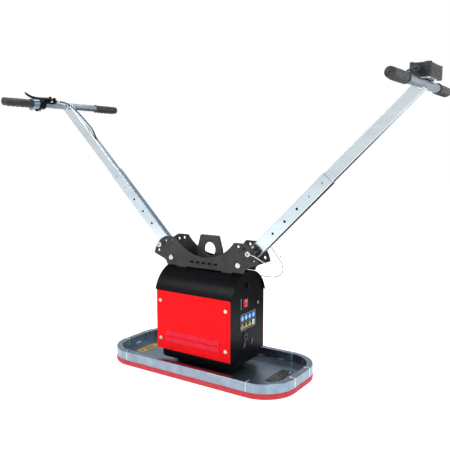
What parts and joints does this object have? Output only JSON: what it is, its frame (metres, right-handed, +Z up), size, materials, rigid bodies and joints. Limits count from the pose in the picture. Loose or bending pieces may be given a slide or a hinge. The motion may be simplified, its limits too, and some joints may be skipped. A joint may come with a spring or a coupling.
{
  "type": "vacuum slab lifter",
  "caption": "Two-person battery vacuum lifter for slabs: rimmed suction plate with sponge seal, pump housing, lifting eye and folding telescopic T-handles with release lever and control box.",
  "frame": {"origin": "on the ground, under the centre of the suction plate", "axes": "+Z up; X along the plate's long side, +X towards the control-box handle; -Y is the front"},
  "size_m": [1.4155, 0.553, 0.965],
  "materials": {
    "battery_case": "moulded case",
    "black_coated": "fine-texture black powder coat",
    "black_plastic": "fine spark texture",
    "black_rubber": "matte",
    "bracket_coated": "textured graphite powder coat",
    "brass_part": "turned",
    "cable_sheath": "smooth sheath",
    "cast_body": "as cast",
    "circuit": "solder mask",
    "clear_bowl": "clear moulded bowl",
    "galvanised": "zinc-plated, satin",
    "grey_sheath": "smooth sheath",
    "grip_rubber": "ribbed grip rubber",
    "label_film": "printed film",
    "motor_case": "painted can",
    "red_paint": "semi-gloss red powder coat",
    "red_plastic": "moulded",
    "red_sponge": "closed-cell sponge, matte",
    "spring_steel": "spring wire",
    "white_coating": "plastic-coated wire",
    "zinc_fastener": "bright zinc",
    "zinc_tube": "zinc-plated, satin"
  },
  "bodies": {
    "root": {"seal_ring": "red_sponge", "suction_plate": "galvanised", "plate_rim": "galvanised", "label_plates": "label_film", "port_gasket": "black_rubber", "port_fitting": "brass_part", "plinth": "black_coated", "plinth_fasteners": "zinc_fastener", "end_panel_left": "black_coated", "end_panel_right": "black_coated", "side_panels": "red_paint", "panel_screws": "zinc_fastener", "top_cover": "black_coated", "top_beam": "zinc_tube", "frame_bolts": "zinc_fastener", "bracket_plate_front": "bracket_coated", "bracket_plate_rear": "bracket_coated", "lifting_eye": "bracket_coated", "pivot_hardware": "zinc_fastener", "battery_pack": "battery_case", "inner_brackets": "zinc_tube", "pump_motor": "motor_case", "pump_head": "cast_body", "vacuum_filter": "clear_bowl", "vacuum_hose": "black_rubber", "valve_body": "cast_body", "valve_spring": "spring_steel", "control_board": "circuit", "switch_bezel": "black_plastic", "charging_socket": "black_plastic", "control_cable_lower": "grey_sheath"},
    "left_outer": {"left_outer_tube": "zinc_tube"},
    "left_inner": {"left_inner_tube": "zinc_tube", "left_crossbar": "galvanised", "left_grips": "grip_rubber", "lever_clamp": "galvanised", "lever_perch": "black_coated", "lever_fittings": "zinc_fastener", "release_cable": "cable_sheath"},
    "right_outer": {"right_outer_tube": "zinc_tube"},
    "right_inner": {"right_inner_tube": "zinc_tube", "right_crossbar": "galvanised", "right_grips": "grip_rubber", "box_bracket": "zinc_tube", "control_box_base": "black_plastic", "control_box_lid": "black_plastic", "box_screws": "zinc_fastener", "box_circuit": "circuit", "cable_gland": "black_plastic", "control_cable": "grey_sheath"},
    "release_lever": {"release_lever": "black_coated"},
    "valve_plunger": {"valve_plunger": "brass_part"},
    "push_button": {"push_button": "black_rubber"},
    "left_snap_button": {"left_snap_button": "zinc_fastener"},
    "right_snap_button": {"right_snap_button": "zinc_fastener"},
    "left_lock_pin": {"left_lock_pin": "zinc_fastener"},
    "right_lock_pin": {"right_lock_pin": "zinc_fastener", "right_pin_wire": "white_coating"},
    "rocker_switch": {"rocker_switch": "red_plastic"},
    "pump_rotor": {"pump_rotor": "spring_steel"}
  },
  "joints": [
    {"name": "left_fold", "type": "hinge", "parent": "root", "child": "left_outer", "pos_m": [-0.136, 0, 0.371], "axis": [0, 1, 0], "range_deg": [0, 45.4]},
    {"name": "right_fold", "type": "hinge", "parent": "root", "child": "right_outer", "pos_m": [0.136, 0, 0.371], "axis": [0, -1, 0], "range_deg": [0, 45.4]},
    {"name": "left_telescope", "type": "slide", "parent": "left_outer", "child": "left_inner", "axis": [-0.712, 0, 0.7022], "range_m": [-0.1154, 0]},
    {"name": "right_telescope", "type": "slide", "parent": "right_outer", "child": "right_inner", "axis": [0.712, 0, 0.7022], "range_m": [-0.2308, 0]},
    {"name": "release_lever", "type": "hinge", "parent": "left_inner", "child": "release_lever", "pos_m": [-0.65931, -0.099, 0.9248], "axis": [0.6428, 0, -0.766], "range_deg": [0, 6], "stiffness_Nm_per_rad": 1.5, "springref_deg": -8.59},
    {"name": "vent_valve", "type": "slide", "parent": "root", "child": "valve_plunger", "axis": [0, 0, 1], "range_m": [0, 0.006], "stiffness_N_per_m": 300, "springref_m": -0.004, "deforming": ["valve_spring"]},
    {"name": "push_button", "type": "slide", "parent": "right_inner", "child": "push_button", "axis": [0, 0, -1], "range_m": [0, 0.003], "stiffness_N_per_m": 300, "springref_m": -0.002},
    {"name": "left_snap_button", "type": "slide", "parent": "left_inner", "child": "left_snap_button", "axis": [0, 1, 0], "range_m": [0, 0.003], "stiffness_N_per_m": 300, "springref_m": -0.002},
    {"name": "right_snap_button", "type": "slide", "parent": "right_inner", "child": "right_snap_button", "axis": [0, 1, 0], "range_m": [0, 0.003], "stiffness_N_per_m": 300, "springref_m": -0.002},
    {"name": "left_lock_pin", "type": "slide", "parent": "root", "child": "left_lock_pin", "axis": [0, -1, 0], "range_m": [0, 0.1]},
    {"name": "right_lock_pin", "type": "slide", "parent": "root", "child": "right_lock_pin", "axis": [0, -1, 0], "range_m": [0, 0.1]},
    {"name": "rocker_switch", "type": "hinge", "parent": "root", "child": "rocker_switch", "pos_m": [0.1455, -0.016, 0.246], "axis": [0, 1, 0], "range_deg": [-8, 8]},
    {"name": "pump_rotor", "type": "hinge", "parent": "root", "child": "pump_rotor", "pos_m": [0, -0.052, 0.116], "axis": [1, 0, 0], "continuous": true}
  ],
  "couplings": [
    {"joint": "vent_valve", "follows": "release_lever", "m_per_rad": 0.0573}
  ]
}
